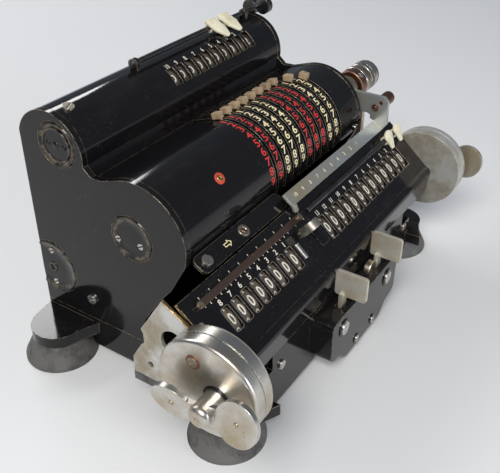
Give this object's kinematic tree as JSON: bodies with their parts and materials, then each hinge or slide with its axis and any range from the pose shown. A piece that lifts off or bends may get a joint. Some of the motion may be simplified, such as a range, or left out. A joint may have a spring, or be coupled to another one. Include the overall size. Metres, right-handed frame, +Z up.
{
  "type": "pinwheel calculating machine",
  "caption": "Hand-cranked pinwheel calculator with setting levers, sliding carriage, wing nuts and check windows.",
  "frame": {"origin": "on the table, under the middle of the whole machine's bounding box", "axes": "+X towards the crank, +Y away from the operator, +Z up"},
  "size_m": [0.2972, 0.1513, 0.1328],
  "materials": {
    "black_enamel": "glossy, worn to bright metal at the edges",
    "rubber_grey": "grey, scuffed and dusty",
    "nickel": "nickel plate with brown patina",
    "bright_steel": "bare turned steel",
    "bronze": "dull brown bronze",
    "copper_brown": "brown, rubbed to copper",
    "ivory": "yellowed ivory colour",
    "tan_tip": "dull tan metal",
    "dial_black": "black rim with light figures",
    "dark_wood": "dark polished wood"
  },
  "bodies": {
    "case": {"base_frame": "black_enamel", "foot_pads": "rubber_grey", "left_side_plate": "black_enamel", "right_side_plate": "black_enamel", "bearing_covers": "black_enamel", "drum_cover": "black_enamel", "register_cover": "black_enamel", "front_shelf": "black_enamel", "crank_sleeve": "nickel", "check_shaft": "bright_steel", "rod_brackets": "nickel", "key_box": "black_enamel", "case_screws": "nickel"},
    "drum": {"pinwheel_drum": "bright_steel", "crank": "nickel"},
    "grip": {"crank_grip": "dark_wood"},
    "bail": {"clearing_bail": "nickel", "bail_knob": "copper_brown"},
    "marker_rod": {"rear_rod": "nickel"},
    "rear_marker_a": {"rear_marker_1": "ivory"},
    "rear_marker_b": {"rear_marker_2": "ivory"},
    "carriage": {"carriage_cover": "black_enamel", "end_plates": "nickel", "left_end_drum": "nickel", "right_end_drum": "nickel", "pointer_strip": "bronze", "pointer_rod": "bright_steel", "carriage_bar": "bronze", "dial_shaft": "bright_steel", "carriage_screws": "nickel"},
    "left_clearing_wing": {"left_wing": "nickel"},
    "right_clearing_wing": {"right_wing": "nickel"},
    "counter_register": {"counter_dials": "dial_black"},
    "product_register": {"product_dials": "dial_black"},
    "front_marker_a": {"front_marker_1": "ivory"},
    "front_marker_b": {"front_marker_2": "ivory"},
    "carriage_release": {"release_button": "copper_brown"},
    "left_shift_key": {"left_key": "nickel"},
    "right_shift_key": {"right_key": "nickel"},
    "lever_1": {"setting_lever_1": "tan_tip"},
    "check_wheel_1": {"check_dial_1": "dial_black"},
    "lever_2": {"setting_lever_2": "tan_tip"},
    "check_wheel_2": {"check_dial_2": "dial_black"},
    "lever_3": {"setting_lever_3": "tan_tip"},
    "check_wheel_3": {"check_dial_3": "dial_black"},
    "lever_4": {"setting_lever_4": "tan_tip"},
    "check_wheel_4": {"check_dial_4": "dial_black"},
    "lever_5": {"setting_lever_5": "tan_tip"},
    "check_wheel_5": {"check_dial_5": "dial_black"},
    "lever_6": {"setting_lever_6": "tan_tip"},
    "check_wheel_6": {"check_dial_6": "dial_black"},
    "lever_7": {"setting_lever_7": "tan_tip"},
    "check_wheel_7": {"check_dial_7": "dial_black"},
    "lever_8": {"setting_lever_8": "tan_tip"},
    "check_wheel_8": {"check_dial_8": "dial_black"},
    "lever_9": {"setting_lever_9": "tan_tip"},
    "check_wheel_9": {"check_dial_9": "dial_black"},
    "lever_10": {"setting_lever_10": "tan_tip"},
    "check_wheel_10": {"check_dial_10": "dial_black"}
  },
  "joints": [
    {"name": "crank_turn", "type": "hinge", "parent": "case", "child": "drum", "pos_m": [0.07533, 0.01064, 0.0786], "axis": [1, 0, 0], "continuous": true},
    {"name": "grip_spin", "type": "hinge", "parent": "drum", "child": "grip", "pos_m": [0.12532, 0.01064, 0.0266], "axis": [1, 0, 0], "continuous": true},
    {"name": "lever_1_set", "type": "hinge", "parent": "drum", "child": "lever_1", "pos_m": [0.02993, 0.01064, 0.0786], "axis": [-1, 0, 0], "range_deg": [-78.75, 22.5]},
    {"name": "check_wheel_1_turn", "type": "hinge", "parent": "case", "child": "check_wheel_1", "pos_m": [0.02993, 0.05133, 0.1096], "axis": [-1, 0, 0], "range_deg": [-72.5, 252.5]},
    {"name": "lever_2_set", "type": "hinge", "parent": "drum", "child": "lever_2", "pos_m": [0.02293, 0.01064, 0.0786], "axis": [-1, 0, 0], "range_deg": [-90, 11.25]},
    {"name": "check_wheel_2_turn", "type": "hinge", "parent": "case", "child": "check_wheel_2", "pos_m": [0.02293, 0.05133, 0.1096], "axis": [-1, 0, 0], "range_deg": [-36.5, 288.5]},
    {"name": "lever_3_set", "type": "hinge", "parent": "drum", "child": "lever_3", "pos_m": [0.01593, 0.01064, 0.0786], "axis": [-1, 0, 0], "range_deg": [-101.25, 0]},
    {"name": "check_wheel_3_turn", "type": "hinge", "parent": "case", "child": "check_wheel_3", "pos_m": [0.01593, 0.05133, 0.1096], "axis": [-1, 0, 0], "range_deg": [-0.5, 324.5]},
    {"name": "lever_4_set", "type": "hinge", "parent": "drum", "child": "lever_4", "pos_m": [0.00893, 0.01064, 0.0786], "axis": [-1, 0, 0], "range_deg": [-101.25, 0]},
    {"name": "check_wheel_4_turn", "type": "hinge", "parent": "case", "child": "check_wheel_4", "pos_m": [0.00893, 0.05133, 0.1096], "axis": [-1, 0, 0], "range_deg": [-0.5, 324.5]},
    {"name": "lever_5_set", "type": "hinge", "parent": "drum", "child": "lever_5", "pos_m": [0.00193, 0.01064, 0.0786], "axis": [-1, 0, 0], "range_deg": [-101.25, 0]},
    {"name": "check_wheel_5_turn", "type": "hinge", "parent": "case", "child": "check_wheel_5", "pos_m": [0.00193, 0.05133, 0.1096], "axis": [-1, 0, 0], "range_deg": [-0.5, 324.5]},
    {"name": "lever_6_set", "type": "hinge", "parent": "drum", "child": "lever_6", "pos_m": [-0.00507, 0.01064, 0.0786], "axis": [-1, 0, 0], "range_deg": [-101.25, 0]},
    {"name": "check_wheel_6_turn", "type": "hinge", "parent": "case", "child": "check_wheel_6", "pos_m": [-0.00507, 0.05133, 0.1096], "axis": [-1, 0, 0], "range_deg": [-0.5, 324.5]},
    {"name": "lever_7_set", "type": "hinge", "parent": "drum", "child": "lever_7", "pos_m": [-0.01208, 0.01064, 0.0786], "axis": [-1, 0, 0], "range_deg": [-101.25, 0]},
    {"name": "check_wheel_7_turn", "type": "hinge", "parent": "case", "child": "check_wheel_7", "pos_m": [-0.01208, 0.05133, 0.1096], "axis": [-1, 0, 0], "range_deg": [-0.5, 324.5]},
    {"name": "lever_8_set", "type": "hinge", "parent": "drum", "child": "lever_8", "pos_m": [-0.01908, 0.01064, 0.0786], "axis": [-1, 0, 0], "range_deg": [-101.25, 0]},
    {"name": "check_wheel_8_turn", "type": "hinge", "parent": "case", "child": "check_wheel_8", "pos_m": [-0.01908, 0.05133, 0.1096], "axis": [-1, 0, 0], "range_deg": [-0.5, 324.5]},
    {"name": "lever_9_set", "type": "hinge", "parent": "drum", "child": "lever_9", "pos_m": [-0.02608, 0.01064, 0.0786], "axis": [-1, 0, 0], "range_deg": [-101.25, 0]},
    {"name": "check_wheel_9_turn", "type": "hinge", "parent": "case", "child": "check_wheel_9", "pos_m": [-0.02608, 0.05133, 0.1096], "axis": [-1, 0, 0], "range_deg": [-0.5, 324.5]},
    {"name": "lever_10_set", "type": "hinge", "parent": "drum", "child": "lever_10", "pos_m": [-0.03308, 0.01064, 0.0786], "axis": [-1, 0, 0], "range_deg": [-101.25, 0]},
    {"name": "check_wheel_10_turn", "type": "hinge", "parent": "case", "child": "check_wheel_10", "pos_m": [-0.03308, 0.05133, 0.1096], "axis": [-1, 0, 0], "range_deg": [-0.5, 324.5]},
    {"name": "bail_swing", "type": "hinge", "parent": "case", "child": "bail", "pos_m": [0.05672, 0.01064, 0.0786], "axis": [-1, 0, 0], "range_deg": [0, 95]},
    {"name": "marker_rod_turn", "type": "hinge", "parent": "case", "child": "marker_rod", "pos_m": [0.05532, 0.05434, 0.1274], "axis": [1, 0, 0], "continuous": true},
    {"name": "rear_marker_a_slide", "type": "slide", "parent": "case", "child": "rear_marker_a", "axis": [1, 0, 0], "range_m": [-0.055, 0.0045]},
    {"name": "rear_marker_b_slide", "type": "slide", "parent": "case", "child": "rear_marker_b", "axis": [1, 0, 0], "range_m": [-0.0045, 0.012]},
    {"name": "carriage_slide", "type": "slide", "parent": "case", "child": "carriage", "axis": [1, 0, 0], "range_m": [-0.028, 0.021]},
    {"name": "left_wing_turn", "type": "hinge", "parent": "carriage", "child": "left_clearing_wing", "pos_m": [-0.13967, -0.05176, 0.0472], "axis": [1, 0, 0], "continuous": true},
    {"name": "right_wing_turn", "type": "hinge", "parent": "carriage", "child": "right_clearing_wing", "pos_m": [0.09033, -0.05176, 0.0472], "axis": [1, 0, 0], "continuous": true},
    {"name": "counter_turn", "type": "hinge", "parent": "carriage", "child": "counter_register", "pos_m": [-0.08167, -0.0316, 0.05085], "axis": [1, 0, 0], "continuous": true},
    {"name": "product_turn", "type": "hinge", "parent": "carriage", "child": "product_register", "pos_m": [0.01533, -0.0316, 0.05085], "axis": [1, 0, 0], "continuous": true},
    {"name": "front_marker_a_slide", "type": "slide", "parent": "carriage", "child": "front_marker_a", "axis": [1, 0, 0], "range_m": [-0.08, 0.0045]},
    {"name": "front_marker_b_slide", "type": "slide", "parent": "carriage", "child": "front_marker_b", "axis": [1, 0, 0], "range_m": [-0.0045, 0.0005]},
    {"name": "release_press", "type": "slide", "parent": "carriage", "child": "carriage_release", "axis": [0, 0.6494, -0.7604], "range_m": [0, 0.0025], "stiffness_N_per_m": 300, "springref_m": -0.001},
    {"name": "left_key_swing", "type": "hinge", "parent": "case", "child": "left_shift_key", "pos_m": [-0.04918, -0.05706, 0.0245], "axis": [0, 1, 0], "range_deg": [-10, 0], "stiffness_Nm_per_rad": 0.3, "springref_deg": 2.86},
    {"name": "right_key_swing", "type": "hinge", "parent": "case", "child": "right_shift_key", "pos_m": [-0.00217, -0.05706, 0.0245], "axis": [0, 1, 0], "range_deg": [0, 10], "stiffness_Nm_per_rad": 0.3, "springref_deg": -2.86}
  ],
  "couplings": [
    {"joint": "check_wheel_1_turn", "follows": "lever_1_set", "ratio": -3.2},
    {"joint": "check_wheel_2_turn", "follows": "lever_2_set", "ratio": -3.2},
    {"joint": "check_wheel_3_turn", "follows": "lever_3_set", "ratio": -3.2},
    {"joint": "check_wheel_4_turn", "follows": "lever_4_set", "ratio": -3.2},
    {"joint": "check_wheel_5_turn", "follows": "lever_5_set", "ratio": -3.2},
    {"joint": "check_wheel_6_turn", "follows": "lever_6_set", "ratio": -3.2},
    {"joint": "check_wheel_7_turn", "follows": "lever_7_set", "ratio": -3.2},
    {"joint": "check_wheel_8_turn", "follows": "lever_8_set", "ratio": -3.2},
    {"joint": "check_wheel_9_turn", "follows": "lever_9_set", "ratio": -3.2},
    {"joint": "check_wheel_10_turn", "follows": "lever_10_set", "ratio": -3.2},
    {"joint": "counter_turn", "follows": "left_wing_turn", "ratio": -1},
    {"joint": "product_turn", "follows": "right_wing_turn", "ratio": -1}
  ]
}
